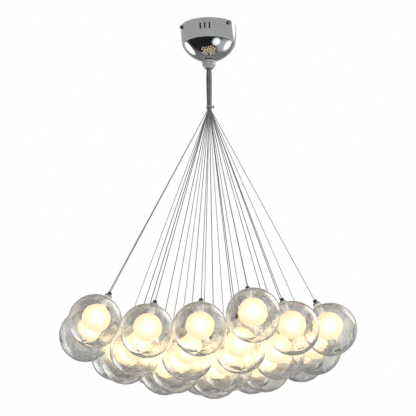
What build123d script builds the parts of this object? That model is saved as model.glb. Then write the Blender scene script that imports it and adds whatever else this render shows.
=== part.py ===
from build123d import *
import math
import os

# Bubble chandelier: twenty-five blown globes hang by equal cords from one ceiling cup, and nest in a shallow bowl.
# Millimetres. The origin is the middle of the ceiling plate's top face, +Z is up, and the viewer stands at -Y.
# An azimuth is measured from the viewer's side, towards +X.

# Ceiling plate, and what is screwed to its underside
plate_d = 84.0
plate_t = 2.0
wire_hole_d = 20.0
slot_spacing = 60.0
slot_w = 4.5
slot_length = 14.0
lug_w = 12.0
lug_h = 9.0
lug_t = 2.0
driver_l = 52.0
driver_w = 28.0
driver_h = 20.0
driver_ear_l = 7.0
driver_ear_t = 2.0
driver_corner = 2.5
driver_y = 23.0
terminal_l = 22.0
terminal_w = 14.0
terminal_h = 12.0
terminal_y = -25.0
terminal_step = 3.0
terminal_wire_d = 3.4
earth_x = -27.0
earth_y = -18.0
small_thread_d = 3.0
small_head_d = 5.6
small_head_h = 2.2

# Ceiling cup
canopy_d = 110.0
canopy_wall = 1.0
rim_band = 9.5
shoulder_radius = 172.0
shoulder_angle = 10.0
shoulder_runs = 2
dome_depth = 31.3
dome_runs = 4
seat_d = 27.0
vent_count = 3
vent_w = 3.2
vent_h = 13.0
vent_pitch = 9.2
vent_drop = 10.0
vent_azimuth = -8.0
side_screw_count = 3
side_screw_azimuth = -75.0
side_screw_drop = 6.0
side_screw_d = 4.0
side_screw_length = 9.0
side_head_d = 7.6
side_head_h = 3.2
notch_play = 0.3

# Cord gland
washer_t = 1.5
washer_d = 24.0
hex_af = 24.0
flange_h = 4.5
locknut_af = 22.0
locknut_h = 5.0
thread_d = 16.0
thread_spare = 5.0
gland_bore_d = 12.4
nose_thread_d = 18.8
nose_thread_l = 4.0
seal_t = 3.5
seal_d = 15.4
cap_gap = 0.5
cap_hex_h = 5.1
cap_nose_h = 6.5
cap_nose_d = 16.0
cap_lip_t = 2.0

# Cords, and how they are gathered
cord_d = 1.6
cord_sides = 6
strand_gap = 0.12
bundle_length = 79.0
bulge_share = 0.3
bulge_pitch_share = 1.26
mouth_swing_radius = 7.5
mouth_swing_angle = 15.0
split_gap = 0.5
splice_d = 14.0
splice_h = 16.0
tie_t = 1.2
tie_w = 2.6
tie_head_l = 4.6
tie_head_w = 5.0
tie_head_h = 4.4

# Nest of globes: rows of a triangular pattern, as (first place, number in the row) for each row number
globe_gap = 0.9
hang_length = 523.0
nest_turn = -16.6
nest_rows = {-2: (-1, 4), -1: (-2, 5), 0: (-2, 5), 1: (-3, 5), 2: (-3, 4), 3: (-2, 2)}
# The places that their neighbours hem in, so that the pendant there can't swing out by itself
hemmed_rows = {-1: (-1, 3), 0: (-2, 4), 1: (-2, 3), 2: (-2, 2)}

# Clear globe, with polar angles measured from its foot
globe_d = 100.0
globe_wall = 4.5
globe_sides = 12
globe_foot_angle = 20.0
globe_neck_angle = 163.0
globe_bands = 4
lip_height = 55.0
lip_d = 15.0
lip_bore_d = 12.0
cavity_sides = 8
cavity_foot_angle = 35.0
cavity_neck_angle = 150.0
cavity_bands = 2

# Opal globe, hung in the clear one by its neck
opal_d = 53.0
opal_wall = 2.6
opal_offset = 7.0
opal_sides = 8
opal_foot_angle = 25.0
opal_neck_angle = 155.0
opal_bands = 3
opal_cavity_bands = 1
opal_neck_d = 11.2
opal_bore_d = 9.2

# Lamp, holder and cord grip of one pendant
fitting_sides = 6
ferrule_d = 15.0
ferrule_h = 3.6
grip_d = 8.4
grip_h = 7.6
holder_d = 8.2
holder_h = 19.0
lamp_d = 7.6
lamp_h = 36.0

# Flat sides of round pieces: the cup, the gland's pieces, screws and their holes, and a hexagon
cup_sides = 40
round_sides = 18
screw_sides = 12
hex_sides = 6

# Fits shared by several pieces
overrun = 1.0
screw_play = 0.1
running_play = 0.3
seat_play = 0.2

# What follows from the sizes above
canopy_r = canopy_d / 2
plate_r = plate_d / 2
seat_r = seat_d / 2
shoulder_turn = math.radians(shoulder_angle)
shoulder_x = canopy_r - shoulder_radius * (1 - math.cos(shoulder_turn))
shoulder_z = -rim_band - shoulder_radius * math.sin(shoulder_turn)
dome_rise = (shoulder_x**2 - seat_r**2 - dome_depth**2) / (2 * dome_depth)
dome_radius = math.hypot(shoulder_x, dome_rise)
dome_z = shoulder_z + dome_rise
edge_turn = math.atan2(dome_rise, shoulder_x)
seat_turn = math.acos(seat_r / dome_radius)
seat_z = shoulder_z - dome_depth
floor_z = seat_z + canopy_wall
flange_top = seat_z - washer_t
flange_foot = flange_top - flange_h
cap_top = flange_foot - cap_gap
mouth_z = cap_top - cap_hex_h - cap_nose_h
tie_z = mouth_z - bundle_length
strand_pitch = cord_d + strand_gap
nest_pitch = globe_d + globe_gap
fan_radius = hang_length * strand_pitch / nest_pitch
globe_r = globe_d / 2
cord_r = cord_d / 2


def direction(azimuth):
    """Horizontal direction at an azimuth from the viewer's side."""
    turn = math.radians(azimuth)
    return Vector(math.sin(turn), -math.cos(turn), 0)


def places(rows):
    """Row and column of each place, row by row from the viewer's side."""
    return [(column, row) for row in sorted(rows) for column in range(rows[row][0], rows[row][0] + rows[row][1])]


def triangular(place):
    """A place of the triangular pattern as a plan vector, in pitches, before it is centred."""
    column, row = place
    along = math.radians(nest_turn)
    across = along + math.pi / 3
    return Vector(
        column * math.cos(along) + row * math.cos(across),
        column * math.sin(along) + row * math.sin(across),
        0,
    )


def centred(rows):
    """Every place as a plan vector in pitches, with the mean of all places on the axis of the cords."""
    raw = {place: triangular(place) for place in places(rows)}
    middle = sum(raw.values(), Vector(0, 0, 0)) / len(raw)
    return {place: vector - middle for place, vector in raw.items()}


pattern = centred(nest_rows)
hemmed = places(hemmed_rows)
free = [place for place in places(nest_rows) if place not in hemmed]
bundle_r = strand_pitch * max(vector.length for vector in pattern.values()) + cord_r


def ray(place):
    """Unit vector from the middle of the tie down to the globe at a place."""
    plan = pattern[place] * nest_pitch
    drop = math.sqrt(hang_length**2 - plan.length**2)
    return Vector(plan.X, plan.Y, -drop).normalized()


def turned(profile, sides):
    """A turning with flat sides, through rings of (radius, height), with a flat polygon at each end."""
    rings = [
        [
            Vector(
                radius * math.cos(2 * math.pi * side / sides),
                radius * math.sin(2 * math.pi * side / sides),
                height,
            )
            for side in range(sides)
        ]
        for radius, height in profile
    ]
    return skinned(rings)


def skinned(rings):
    """A solid with flat faces through rings that have the same number of corners."""
    faces = [Face(Wire.make_polygon(ring)) for ring in (rings[0], rings[-1])]
    for near, far in zip(rings, rings[1:]):
        for side in range(len(near)):
            after = (side + 1) % len(near)
            faces.append(Face(Wire.make_polygon([near[side], near[after], far[after], far[side]])))
    return Solid(Shell(faces))


def arc_rings(radius, start, end, bands, centre):
    """Rings of a sphere, as (radius, height), from one polar angle to another, measured from its foot."""
    angles = [math.radians(start + (end - start) * band / bands) for band in range(bands + 1)]
    return [(radius * math.sin(angle), centre - radius * math.cos(angle)) for angle in angles]


def rod(diameter, foot, top):
    return turned([(diameter / 2, foot), (diameter / 2, top)], round_sides)


def tube(outer_d, bore_d, foot, top):
    return rod(outer_d, foot, top) - rod(bore_d, foot - overrun, top + overrun)


def hex_bar(across_flats, foot, top):
    return turned([(across_flats / math.sqrt(3), foot), (across_flats / math.sqrt(3), top)], hex_sides)


def screw(thread, length, head_d, head_h):
    """Cheese-head screw along Z: its head stands above the origin, its thread below."""
    rings = [(thread / 2, -length), (thread / 2, 0), (head_d / 2, 0), (head_d / 2, head_h)]
    return turned(rings, screw_sides)


def screw_hole(diameter, depth):
    """What is cut away for a screw, as far above the origin as below it."""
    return turned([(diameter / 2, -depth), (diameter / 2, depth)], screw_sides)


# Ceiling plate

def side_screw_plane(number):
    """Plane on the cup's wall at a side screw, with its normal pointing out of the cup."""
    out = direction(side_screw_azimuth + 360 * number / side_screw_count)
    origin = out * canopy_r + Vector(0, 0, -side_screw_drop)
    return Plane(origin=origin, x_dir=(0, 0, 1), z_dir=out)


def base_plate():
    lug_reach = (canopy_r - canopy_wall) * math.cos(math.pi / cup_sides) - running_play
    lug_face = math.sqrt(lug_reach**2 - (lug_w / 2) ** 2)
    plate = Pos(0, 0, -plate_t / 2) * Cylinder(plate_r, plate_t)
    for number in range(side_screw_count):
        angle = side_screw_azimuth + 360 * number / side_screw_count
        arm = Pos(0, -lug_face / 2, -plate_t / 2) * Box(lug_w, lug_face, plate_t)
        lug = Pos(0, -lug_face + lug_t / 2, -lug_h / 2) * Box(lug_w, lug_t, lug_h)
        plate += Rot(0, 0, angle) * (arm + lug)
    plate -= Cylinder(wire_hole_d / 2, 3 * plate_t)
    for side in (-1, 1):
        slot = extrude(SlotOverall(slot_length, slot_w), plate_t, both=True)
        plate -= Pos(side * slot_spacing / 2, 0, -plate_t / 2) * slot
    for x, y in driver_screw_places() + [(0, terminal_y), (earth_x, earth_y)]:
        plate -= Pos(x, y, 0) * screw_hole(small_thread_d + screw_play, plate_t + overrun)
    tapped = screw_hole(side_screw_d + screw_play, side_screw_length)
    for number in range(side_screw_count):
        plate -= side_screw_plane(number).location * tapped
    return plate


def driver_screw_places():
    reach = driver_l / 2 + driver_ear_l / 2
    return [(-reach, driver_y), (reach, driver_y)]


def led_driver():
    case = Box(driver_l, driver_w, driver_h)
    case = chamfer(case.edges().filter_by(Axis.Z), driver_corner)
    case = Pos(0, driver_y, -plate_t - driver_h / 2) * case
    ears = Box(driver_l + 2 * driver_ear_l, driver_w / 2, driver_ear_t)
    case += Pos(0, driver_y, -plate_t - driver_ear_t / 2) * ears
    for x, y in driver_screw_places():
        case -= Pos(x, y, -plate_t) * screw_hole(small_thread_d + 2 * seat_play, driver_ear_t + overrun)
    return case


def mains_terminal():
    """Two-pole block: the wire holes run through its lower step, and one screw holds it to the plate."""
    block = Pos(0, 0, -terminal_h / 2) * Box(terminal_l, terminal_w, terminal_h)
    channel_w = terminal_l / 3
    block -= Pos(0, 0, -terminal_h) * Box(channel_w, terminal_w + overrun, 2 * terminal_step)
    for side in (-1, 1):
        hole = Rot(90, 0, 0) * screw_hole(terminal_wire_d, terminal_w)
        block -= Pos(side * (terminal_l + channel_w) / 4, 0, -terminal_h / 2) * hole
    block -= screw_hole(small_thread_d + 2 * seat_play, terminal_h + overrun)
    return Pos(0, terminal_y, -plate_t) * block


def plate_screws():
    """Two driver screws, one terminal screw and the earth screw, all driven up into the plate."""
    flip = Rot(180, 0, 0)
    spots = [(x, y, driver_ear_t) for x, y in driver_screw_places()]
    spots += [(0, terminal_y, terminal_h - terminal_step), (earth_x, earth_y, seat_play)]
    screws = []
    for x, y, below in spots:
        length = plate_t + below - screw_play
        piece = screw(small_thread_d, length, small_head_d, small_head_h)
        screws.append(Pos(x, y, -plate_t - below) * flip * piece)
    return screws


def side_screws():
    screws = []
    for number in range(side_screw_count):
        piece = screw(side_screw_d, side_screw_length, side_head_d, side_head_h)
        screws.append(side_screw_plane(number).location * (Pos(0, 0, running_play) * piece))
    return screws


# Ceiling cup

def bowl(inset, top):
    """The cup's outer skin as a solid, set in by the inset: band, shoulder, dome with an edge, flat seat."""
    points = [(canopy_r - inset, top)]
    for run in range(shoulder_runs + 1):
        turn = shoulder_turn * run / shoulder_runs
        reach = shoulder_radius - inset
        points.append((canopy_r - shoulder_radius + reach * math.cos(turn), -rim_band - reach * math.sin(turn)))
    for run in range(1, dome_runs):
        turn = edge_turn + (seat_turn - edge_turn) * run / dome_runs
        reach = dome_radius - inset
        points.append((reach * math.cos(turn), dome_z - reach * math.sin(turn)))
    points.append((seat_r, seat_z + inset))
    return turned(points, cup_sides)


def canopy_cup():
    cup = bowl(0, 0) - bowl(canopy_wall, overrun)
    cup -= rod(thread_d + 2 * screw_play, seat_z - overrun, floor_z + overrun)
    slot = extrude(SlotOverall(vent_h, vent_w), 4 * canopy_wall, both=True)
    middle = (vent_count - 1) / 2
    for number in range(vent_count):
        out = direction(vent_azimuth + math.degrees((number - middle) * vent_pitch / canopy_r))
        origin = out * canopy_r + Vector(0, 0, -vent_drop - vent_h / 2)
        cup -= Plane(origin=origin, x_dir=(0, 0, 1), z_dir=out).location * slot
    notch_r = side_screw_d / 2 + notch_play
    notch = Cylinder(notch_r, 6 * canopy_wall)
    notch += Pos(side_screw_drop, 0, 0) * Box(2 * side_screw_drop, 2 * notch_r, 6 * canopy_wall)
    for number in range(side_screw_count):
        cup -= side_screw_plane(number).location * notch
    return cup


# Cord gland

def gland_body():
    """Hex flange under the cup, a thread up through it and a wider thread down for the cap nut."""
    stem_top = floor_z + locknut_h + thread_spare
    nose_foot = flange_foot - nose_thread_l
    body = hex_bar(hex_af, flange_foot, flange_top)
    body += rod(thread_d, flange_foot, stem_top)
    body += rod(nose_thread_d, nose_foot, flange_top)
    body -= rod(gland_bore_d, nose_foot - overrun, stem_top + overrun)
    return body - rod(seal_d + 2 * screw_play, nose_foot - overrun, nose_foot + seal_t + seat_play)


def gland_locknut():
    nut = hex_bar(locknut_af, floor_z, floor_z + locknut_h)
    return nut - rod(thread_d + 2 * screw_play, floor_z - overrun, floor_z + locknut_h + overrun)


def gland_seals():
    """Flat washer under the cup, and the rubber ring that grips the cords."""
    ring_foot = flange_foot - nose_thread_l
    washer = tube(washer_d, thread_d + 2 * screw_play, flange_top, seat_z)
    return [washer, tube(seal_d, 2 * (bundle_r + screw_play), ring_foot, ring_foot + seal_t)]


def gland_cap():
    """Cap nut: a hexagon over the lower thread, drawn in to a rounded nose with the cords' mouth."""
    thread_roof = flange_foot - nose_thread_l - seat_play
    swing_share = math.sin(math.radians(mouth_swing_angle))
    nose_top = cap_top - cap_hex_h
    bulge_d = (hex_af + cap_nose_d) / 2 + cap_nose_h / 4
    cap = hex_bar(hex_af, nose_top, cap_top)
    cap += turned(
        [(cap_nose_d / 2, mouth_z), (bulge_d / 2, mouth_z + cap_nose_h / 2), (hex_af / 2, nose_top)],
        round_sides,
    )
    cap -= rod(nose_thread_d + 2 * screw_play, thread_roof, cap_top + overrun)
    bulge_play = bundle_r * (bulge_pitch_share - 1) * mouth_swing_radius / (bulge_share * bundle_length)
    hollow_r = bundle_r + (thread_roof - mouth_z) * swing_share + running_play
    mouth_r = bundle_r + bulge_play + cap_lip_t * swing_share + running_play
    cap -= turned([(mouth_r, mouth_z + cap_lip_t), (hollow_r, thread_roof + overrun)], round_sides)
    return cap - rod(2 * mouth_r, mouth_z - overrun, mouth_z + cap_lip_t + overrun)


# Cords between the cup and the tie

def strand_ring(point):
    turns = [2 * math.pi * side / cord_sides for side in range(cord_sides)]
    return [point + Vector(cord_r * math.cos(turn), cord_r * math.sin(turn), 0) for turn in turns]


def faced(ring, point, run, normal):
    """The ring's corners, slid along the run until they lie in the plane through the point."""
    return [corner + run * ((point - corner).dot(normal) / run.dot(normal)) for corner in ring]


def strand(route, first_normal, last_normal):
    """One cord through the points of its route, with an end face square to each normal."""
    rings = [strand_ring(point) for point in route]
    first_run = (route[1] - route[0]).normalized()
    last_run = (route[-1] - route[-2]).normalized()
    rings[0] = faced(rings[0], route[0], first_run, first_normal)
    rings[-1] = faced(rings[-1], route[-1], last_run, last_normal)
    return skinned(rings)


def on_sphere(plan, centre_z, radius, side):
    return Vector(plan.X, plan.Y, centre_z + side * math.sqrt(radius**2 - plan.length**2))


def cord_tails():
    """The cords' upper ends as one bar, from the splice down through the seal to just above the mouth."""
    top = floor_z + locknut_h + thread_spare + splice_h / 2
    foot = mouth_z + mouth_swing_radius + split_gap
    return rod(2 * bundle_r, foot, top)


def splice_sleeve():
    """Closed cap that the cords' ends are crimped into."""
    foot = floor_z + locknut_h + thread_spare + seat_play
    sleeve = rod(splice_d, foot, foot + splice_h)
    return sleeve - rod(2 * (bundle_r + screw_play), foot - overrun, foot + splice_h / 2)


def cord_bundle():
    """The gathered cords from the gland's mouth to the tie, bulging a little below the gland."""
    strands = []
    for place, unit in pattern.items():
        plan = unit * strand_pitch
        wide = plan * bulge_pitch_share
        head = on_sphere(plan, mouth_z, mouth_swing_radius, 1)
        foot = on_sphere(plan, tie_z, fan_radius - split_gap, -1)
        route = [
            head,
            Vector(wide.X, wide.Y, mouth_z - bulge_share * bundle_length),
            Vector(plan.X, plan.Y, tie_z + tie_w),
            foot,
        ]
        head_normal = (head - Vector(0, 0, mouth_z)).normalized()
        strands.append(strand(route, head_normal, ray(place)))
    return strands


def zip_tie():
    inner_d = 2 * (bundle_r + screw_play)
    band = tube(inner_d + 2 * tie_t, inner_d, tie_z - tie_w / 2, tie_z + tie_w / 2)
    head = Pos(inner_d / 2 + tie_head_l / 2, 0, tie_z) * Box(tie_head_l, tie_head_w, tie_head_h)
    return band + (head - rod(inner_d + tie_t, tie_z - tie_head_h, tie_z + tie_head_h))


# Pendants, each modelled upright with its clear globe's centre at the origin, then laid along its cord

def clear_globe():
    """Blown globe with a neck drawn up to a small lip, and the cavity that it was blown to."""
    neck = [(lip_d / 2, lip_height)]
    outside = turned(arc_rings(globe_r, globe_foot_angle, globe_neck_angle, globe_bands, 0) + neck, globe_sides)
    cavity_r = globe_r - globe_wall
    bore_r = lip_bore_d / 2
    bore = [(bore_r, math.sqrt(cavity_r**2 - bore_r**2)), (bore_r, lip_height + overrun)]
    rings = arc_rings(cavity_r, cavity_foot_angle, cavity_neck_angle, cavity_bands, 0)
    return outside - turned(rings + bore, cavity_sides)


def opal_globe():
    """Opal globe hung from the lip by its neck, hollow for the lamp."""
    outside_r = opal_d / 2
    neck_r = opal_neck_d / 2
    neck = [(neck_r, opal_offset + outside_r + opal_wall / 2), (neck_r, lip_height)]
    rings = arc_rings(outside_r, opal_foot_angle, opal_neck_angle, opal_bands, opal_offset)
    outside = turned(rings + neck, opal_sides)
    cavity_r = outside_r - opal_wall
    bore_r = opal_bore_d / 2
    bore = [(bore_r, opal_offset + math.sqrt(cavity_r**2 - bore_r**2)), (bore_r, lip_height + overrun)]
    rings = arc_rings(cavity_r, opal_foot_angle, opal_neck_angle, opal_cavity_bands, opal_offset)
    return outside - turned(rings + bore, fitting_sides)


def prism(diameter, foot, height, sides):
    return turned([(diameter / 2, foot), (diameter / 2, foot + height)], sides)


def ferrule():
    return prism(ferrule_d, lip_height, ferrule_h, fitting_sides)


def grip():
    return prism(grip_d, lip_height + ferrule_h, grip_h, fitting_sides)


def holder():
    return prism(holder_d, lip_height - holder_h, holder_h, fitting_sides)


def lamp():
    return prism(lamp_d, lip_height - holder_h - lamp_h, lamp_h, fitting_sides)


def cord():
    foot = lip_height + ferrule_h + grip_h
    return prism(cord_d, foot, hang_length - fan_radius - foot, cord_sides)


def laid(piece, place):
    """A piece of an upright pendant, moved to its place in the nest and lined up with its cord."""
    down = ray(place)
    centre = Vector(0, 0, tie_z) + down * hang_length
    side = direction(0).cross(down)
    return piece.moved(Plane(origin=centre, x_dir=side, z_dir=-down).location)


def save(name, pieces):
    solids = [solid for piece in pieces for solid in piece.solids()]
    export_step(solids[0] if len(solids) == 1 else Compound(solids), os.path.join("parts", name + ".step"))


os.makedirs("parts", exist_ok=True)
save("base_plate", [base_plate()])
save("led_driver", [led_driver()])
save("mains_terminal", [mains_terminal()])
save("plate_screws", plate_screws())
save("side_screws", side_screws())
save("canopy_cup", [canopy_cup()])
save("gland_body", [gland_body()])
save("gland_locknut", [gland_locknut()])
save("gland_seals", gland_seals())
save("gland_cap", [gland_cap()])
save("cord_tails", [cord_tails()])
save("splice_sleeve", [splice_sleeve()])
save("cord_bundle", cord_bundle())
save("zip_tie", [zip_tie()])

kinds = {
    "clear_globe": clear_globe(),
    "opal_globe": opal_globe(),
    "ferrule": ferrule(),
    "grip": grip(),
    "holder": holder(),
    "lamp": lamp(),
    "cord": cord(),
}
for kind, piece in kinds.items():
    save("inner_" + kind + "s", [laid(piece, place) for place in hemmed])
for number, place in enumerate(free, 1):
    save(f"clear_globe_{number:02d}", [laid(kinds["clear_globe"], place)])
    save(f"opal_globe_{number:02d}", [laid(kinds["opal_globe"], place)])
    fitting = [laid(kinds[kind], place) for kind in ("ferrule", "grip", "holder", "lamp", "cord")]
    save(f"fitting_{number:02d}", fitting)

print("canopy height", round(-seat_z, 2), "mouth", round(mouth_z, 2), "tie", round(tie_z, 2))
print("fan radius", round(fan_radius, 3), "bundle diameter", round(2 * bundle_r, 2))
print("cord length, tie to grip", round(hang_length - fan_radius - lip_height - ferrule_h - grip_h, 1))
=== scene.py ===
import math
import random

import bmesh
import bpy
from mathutils import Matrix, Vector


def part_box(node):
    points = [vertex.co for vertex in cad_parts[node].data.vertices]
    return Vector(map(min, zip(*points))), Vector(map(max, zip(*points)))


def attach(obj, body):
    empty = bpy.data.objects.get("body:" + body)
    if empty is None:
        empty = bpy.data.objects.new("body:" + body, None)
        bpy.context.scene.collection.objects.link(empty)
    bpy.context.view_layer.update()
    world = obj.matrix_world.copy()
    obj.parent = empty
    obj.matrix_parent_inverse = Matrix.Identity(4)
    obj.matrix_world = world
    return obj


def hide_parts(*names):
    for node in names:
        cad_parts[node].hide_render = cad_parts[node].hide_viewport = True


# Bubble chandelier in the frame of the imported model: metres, +Z up, ceiling at 0, the viewer at -Y.
# Sizes are written in millimetres, times mm.
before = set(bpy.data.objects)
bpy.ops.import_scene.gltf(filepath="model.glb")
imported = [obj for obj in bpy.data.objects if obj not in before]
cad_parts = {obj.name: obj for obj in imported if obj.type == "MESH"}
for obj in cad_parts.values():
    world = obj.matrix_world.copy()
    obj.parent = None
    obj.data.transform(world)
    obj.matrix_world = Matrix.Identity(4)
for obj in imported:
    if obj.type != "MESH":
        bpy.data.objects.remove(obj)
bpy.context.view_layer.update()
scene = bpy.context.scene
random.seed(25)
mm = 0.001


# Helpers

# sRGB hex to the linear colour that sockets take
def linear(hexColour):
    channels = [int(hexColour[at:at + 2], 16) / 255 for at in (1, 3, 5)]
    return [c / 12.92 if c <= 0.04045 else ((c + 0.055) / 1.055) ** 2.4 for c in channels] + [1.0]


# adds a shader node; settings are its properties or its sockets' values, and links are
# {socket: output}, where a node stands for its first output
def addNode(tree, kind, settings=None, links=None):
    node = tree.nodes.new("ShaderNode" + kind)
    for name, value in (settings or {}).items():
        if isinstance(name, str) and hasattr(node, name):
            setattr(node, name, value)
        else:
            node.inputs[name].default_value = value
    for name, source in (links or {}).items():
        output = source.outputs[0] if isinstance(source, bpy.types.Node) else source
        tree.links.new(output, node.inputs[name])
    return node


# fills a colour ramp with (position, hex colour) stops
def fillRamp(ramp, stops):
    while len(ramp.elements) < len(stops):
        ramp.elements.new(0.5)
    for element, (position, colour) in zip(ramp.elements, stops):
        element.position = position
        element.color = linear(colour)


def newMaterial(name):
    material = bpy.data.materials.new(name)
    material.use_nodes = True
    tree = material.node_tree
    tree.nodes.clear()
    return material, tree


def surfaced(material, shader):
    addNode(material.node_tree, "OutputMaterial", links={0: shader})
    return material


def smoothen(mesh, sharpAngle):
    for polygon in mesh.polygons:
        polygon.use_smooth = True
    mesh.set_sharp_from_angle(angle=math.radians(sharpAngle))


def meshFrom(bm, name, sharpAngle=40):
    bmesh.ops.recalc_face_normals(bm, faces=bm.faces)
    mesh = bpy.data.meshes.new(name)
    bm.to_mesh(mesh)
    bm.free()
    smoothen(mesh, sharpAngle)
    return mesh


# a point nearer to the axis than this is a pole
poleRadius = 0.001 * mm


# turns a profile of (radius, height) round Z; shape moves a point before it is turned
def turned(name, profile, segments, closed=False, shape=None, sharpAngle=40):
    bm = bmesh.new()
    rings = []
    for radius, height in profile:
        if radius < poleRadius:
            rings.append([bm.verts.new((0, 0, height))] * segments)
            continue
        ring = []
        for step in range(segments):
            turn = 2 * math.pi * step / segments
            r, z = shape(radius, height, turn) if shape else (radius, height)
            ring.append(bm.verts.new((r * math.cos(turn), r * math.sin(turn), z)))
        rings.append(ring)
    for low, high in zip(rings, rings[1:] + (rings[:1] if closed else [])):
        for step in range(segments):
            after = (step + 1) % segments
            # at a pole two of the corners are one
            corners = list(dict.fromkeys((low[step], low[after], high[after], high[step])))
            if len(corners) > 2:
                bm.faces.new(corners)

    # UV: once round, and up from the lowest point to the highest
    low, high = (bound(z for _, z in profile) for bound in (min, max))
    upright = bm.loops.layers.uv.new("upright")
    for face in bm.faces:
        for loop in face.loops:
            x, y, z = loop.vert.co
            loop[upright].uv = (math.atan2(y, x) / (2 * math.pi) + 0.5, (z - low) / (high - low))
    return meshFrom(bm, name, sharpAngle)


# arc in the (radius, height) plane; degrees, 0 outwards and 90 up
def arcPoints(centreR, centreZ, radius, start, end, count):
    turns = [math.radians(start + (end - start) * step / count) for step in range(count + 1)]
    return [(centreR + radius * math.cos(a), centreZ + radius * math.sin(a)) for a in turns]


# quadratic curve from start to end, drawn towards control
def bendPoints(start, control, end, count):
    points = []
    for step in range(count + 1):
        t = step / count
        weights = ((1 - t) ** 2, 2 * t * (1 - t), t ** 2)
        drawn = list(zip(weights, (start, control, end)))
        points.append(tuple(sum(w * p[axis] for w, p in drawn) for axis in (0, 1)))
    return points


# profile of a ring from its bore outwards; edge is how far in and up its outer edges are broken
def ringPoints(boreR, outerR, low, high, edge):
    inwards, upwards = edge
    return [
        (boreR, low), (outerR - inwards, low), (outerR, low + upwards),
        (outerR, high - upwards), (outerR - inwards, high), (boreR, high),
    ]


# zigzag of a thread's crests and roots between two heights, a good third of its pitch deep
def threadPoints(radius, low, high, pitch):
    steps = round((high - low) / pitch * 2)
    depth = pitch * 0.35
    climb = (high - low) / steps
    return [(radius - depth * (step % 2), low + climb * step) for step in range(steps + 1)]


# a block with rounded edges, from its middle and its size
def roundedBlock(bm, middle, size, rounding):
    made = bmesh.ops.create_cube(bm, size=1)["verts"]
    bmesh.ops.scale(bm, verts=made, vec=size)
    bmesh.ops.translate(bm, verts=made, vec=middle)
    edges = list({edge for vert in made for edge in vert.link_edges})
    bmesh.ops.bevel(bm, geom=edges, offset=rounding, segments=3, profile=0.5, affect="EDGES")


def newObject(name, data):
    made = bpy.data.objects.new(name, data)
    scene.collection.objects.link(made)
    return made


def finishPiece(piece, body, node):
    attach(piece, body)
    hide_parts(node)


def addPiece(name, mesh, body, finish, node, place=(0, 0, 0)):
    piece = newObject(name, mesh)
    piece.location = place
    mesh.materials.append(finishes[finish])
    finishPiece(piece, body, node)
    return piece


# the rotation that lays +Z along a direction
def laidAlong(direction):
    return direction.to_track_quat("Z", "Y").to_matrix().to_4x4()


cord = {"radius": 0.8 * mm, "stepsRound": 3, "stepsAlong": 8}


# a cord as one spline of order 3 along its route; a point with more weight draws it nearer
def cordPiece(name, route, weights=(1, 1, 1)):
    data = bpy.data.curves.new(name, "CURVE")
    data.dimensions = "3D"
    data.bevel_depth = cord["radius"]
    data.bevel_resolution = cord["stepsRound"]
    data.resolution_u = cord["stepsAlong"]
    data.use_fill_caps = True
    data.materials.append(finishes["cord"])
    spline = data.splines.new("NURBS")
    spline.points.add(len(route) - 1)
    for control, point, weight in zip(spline.points, route, weights):
        control.co = (*point, weight)
    spline.order_u = 3
    spline.use_endpoint_u = True
    return newObject(name, data)


# Nest: the cords' and globes' pattern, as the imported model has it

nest = {
    "tieZ": sum(corner.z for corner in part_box("zip_tie")) / 2,
    # from the tie to the middle of each globe
    "hang": 523.0 * mm,
    # between globes, and between gathered cords
    "pitch": 100.9 * mm,
    "strandPitch": 1.72 * mm,
    # degrees
    "turn": -16.6,
    # row: (first column, how many columns), of all pendants and of those hemmed in by others
    "rows": {-2: (-1, 4), -1: (-2, 5), 0: (-2, 5), 1: (-3, 5), 2: (-3, 4), 3: (-2, 2)},
    "hemmedRows": {-1: (-1, 3), 0: (-2, 4), 1: (-2, 3), 2: (-2, 2)},
}


def placesOf(rows):
    return [(column, row) for row in sorted(rows) for column in range(rows[row][0], sum(rows[row]))]


# a spot's place in a triangular pattern with a pitch of 1
def triangular(spot):
    along = math.radians(nest["turn"])
    across = along + math.pi / 3
    column, row = spot
    x = column * math.cos(along) + row * math.cos(across)
    y = column * math.sin(along) + row * math.sin(across)
    return Vector((x, y, 0))


spots = placesOf(nest["rows"])
hemmedSpots = placesOf(nest["hemmedRows"])
freeSpots = [spot for spot in spots if spot not in hemmedSpots]
patternMiddle = sum((triangular(spot) for spot in spots), Vector()) / len(spots)
unitPlan = {spot: triangular(spot) - patternMiddle for spot in spots}
tiePoint = Vector((0, 0, nest["tieZ"]))
fanRadius = nest["hang"] * nest["strandPitch"] / nest["pitch"]
labels = {spot: f"{number:02d}" for number, spot in enumerate(freeSpots, 1)}
labels.update({spot: f"inner{number:02d}" for number, spot in enumerate(hemmedSpots, 1)})


# the direction in which a pendant hangs from the tie
def rayOf(spot):
    plan = unitPlan[spot] * nest["pitch"]
    drop = math.sqrt(nest["hang"] ** 2 - plan.length_squared)
    return (plan - Vector((0, 0, drop))).normalized()


for spot in freeSpots:
    low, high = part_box("clear_globe_" + labels[spot])
    centre = tiePoint + rayOf(spot) * nest["hang"]
    if not all(low[axis] < centre[axis] < high[axis] for axis in range(3)):
        raise ValueError("pendant " + labels[spot] + " isn't where the packed model has it")
print("nest laid out:", len(spots), "pendants")


# Materials; heights are shares of a piece's own height, from its foot

# a wave texture of scale 1 repeats each 2 pi / 20, so this over a pitch is the scale for it
waveUnit = 2 * math.pi / 20

# soda-lime glass blown by hand: clear, faintly grey in depth, with slow waves and finer cords that
# bend what is behind; above its foot it has a painted warm glow that stands in for the opals'
# light, stronger where it is hemmed in by other globes
blownGlass = {
    "colour": "#f6f6f4",
    "waves": {"Scale": 1 / (26 * mm), "Detail": 1.0, "Roughness": 0.4},
    "waveBump": {"Strength": 0.3, "Distance": 2 * mm},
    "cords": {"Scale": 1 / (9 * mm), "Detail": 1.0, "Distortion": 0.6},
    "cordBump": {"Strength": 0.3, "Distance": 0.7 * mm},
    "paintedGlow": "#ffe0ae",
    "paintedGlowHeights": {"interpolation_type": "SMOOTHSTEP", "From Min": 0.18, "From Max": 0.5},
    # strength of the painted glow on free globes and on globes hemmed in by others
    "glowFree": 0.008,
    "glowHemmed": 0.07,
}


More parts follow.
